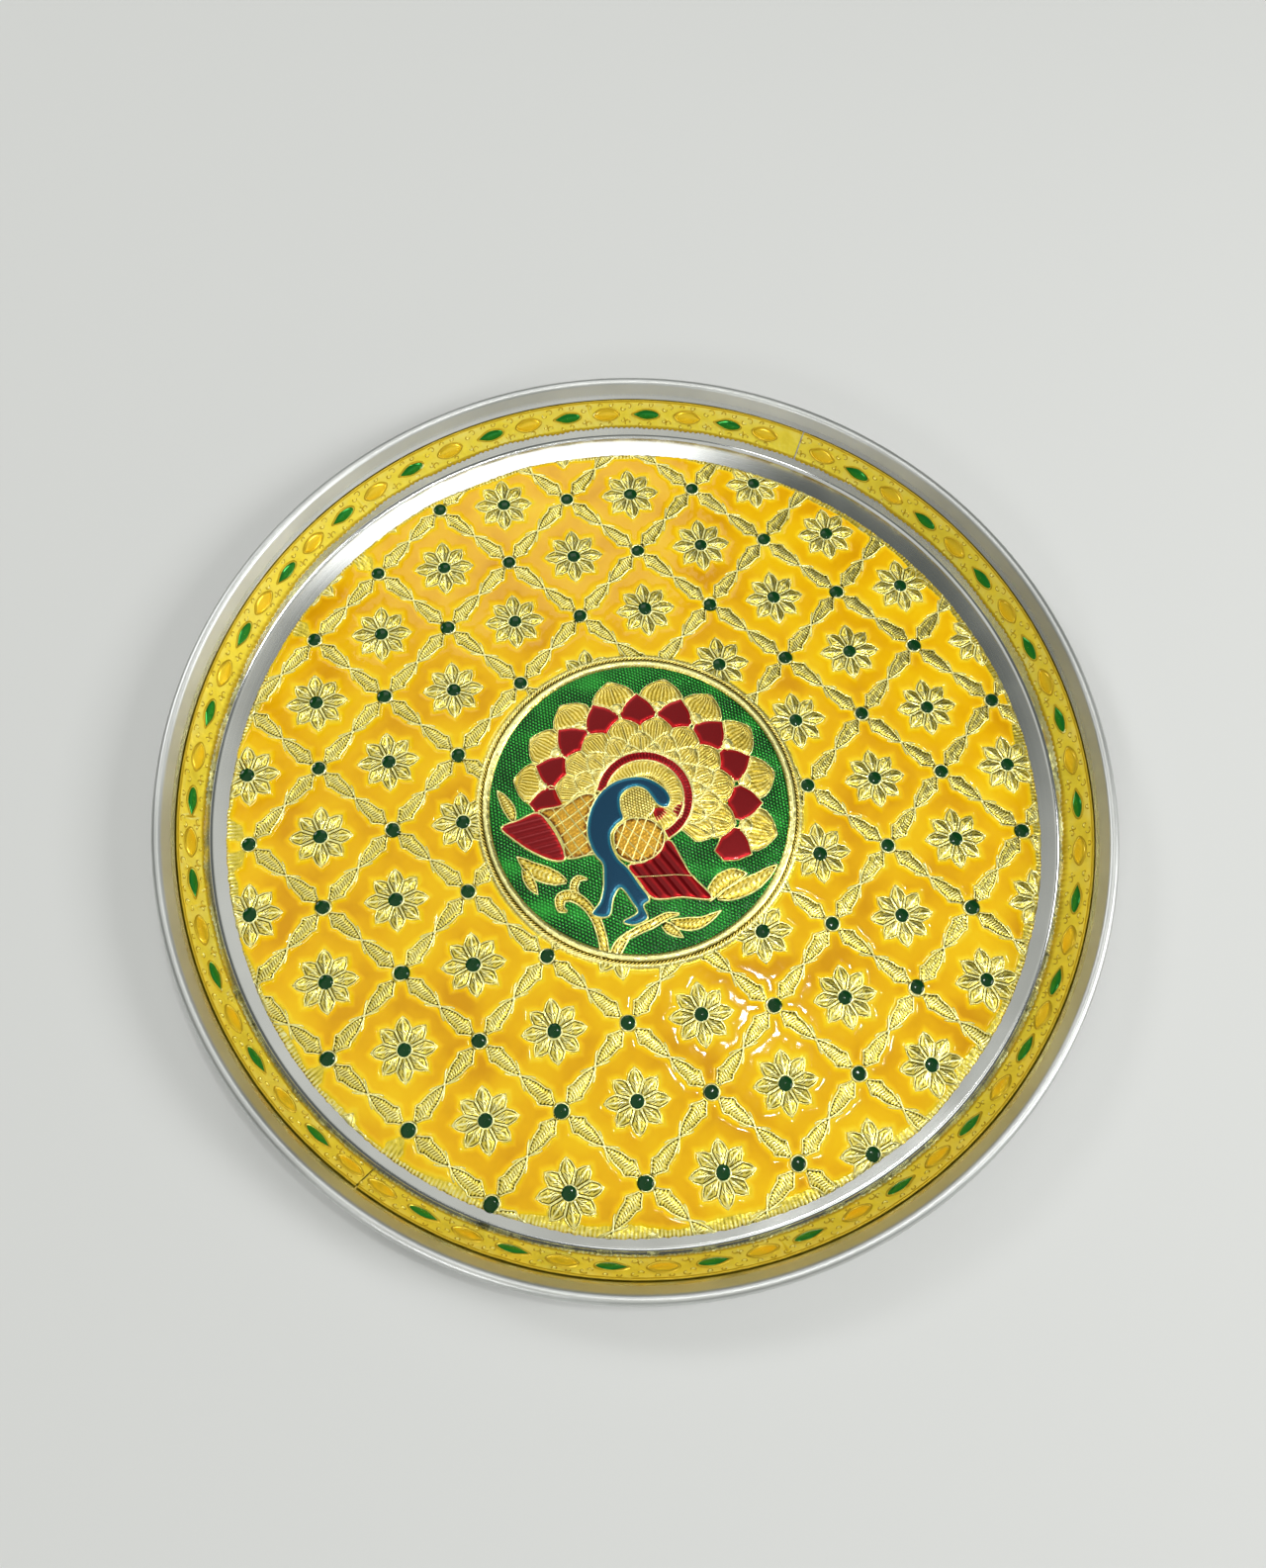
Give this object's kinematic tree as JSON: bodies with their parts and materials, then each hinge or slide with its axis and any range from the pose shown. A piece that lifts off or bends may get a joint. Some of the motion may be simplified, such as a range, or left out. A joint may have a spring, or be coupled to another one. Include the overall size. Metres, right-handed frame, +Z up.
{
  "type": "enamelled plate",
  "caption": "Round steel plate with a sloping wall and rolled rim; its floor and wall carry embossed gold foil with coloured enamel and a round peacock medallion.",
  "frame": {"origin": "centre of the flat underside, which rests at z = 0", "axes": "+Z up out of the plate; +Y along the lattice towards the tip of the peacock's fanned tail, +X to its right"},
  "size_m": [0.3, 0.3, 0.0186],
  "materials": {
    "steel": "stainless steel sheet, polished on a lathe",
    "floor_foil": "pale gold embossed foil under yellow enamel",
    "medallion_foil": "pale gold embossed foil, bare on its raised forms",
    "band_foil": "deep gold embossed foil strip",
    "green_enamel": "clear green cold enamel over stippled foil",
    "blue_enamel": "clear blue cold enamel",
    "red_enamel": "clear red cold enamel over hatched foil",
    "amber_enamel": "clear amber cold enamel over cross-hatched foil"
  },
  "bodies": {
    "root": {"steel_plate": "steel", "floor_foil": "floor_foil", "medallion_foil": "medallion_foil", "wall_band_left": "band_foil", "wall_band_right": "band_foil", "ground_enamel": "green_enamel", "neck_enamel": "blue_enamel", "wing_oval_enamel": "amber_enamel", "left_shoulder_enamel": "amber_enamel", "right_wing_enamel": "red_enamel", "left_wing_enamel": "red_enamel", "throat_enamel": "red_enamel", "beak_enamel": "red_enamel", "collar_enamel": "red_enamel", "tail_enamel_01": "red_enamel", "tail_enamel_02": "red_enamel", "tail_enamel_03": "red_enamel", "tail_enamel_04": "red_enamel", "tail_enamel_05": "red_enamel", "tail_enamel_06": "red_enamel", "tail_enamel_07": "red_enamel", "tail_enamel_08": "red_enamel", "tail_enamel_09": "red_enamel", "tail_enamel_10": "red_enamel"}
  },
  "joints": []
}
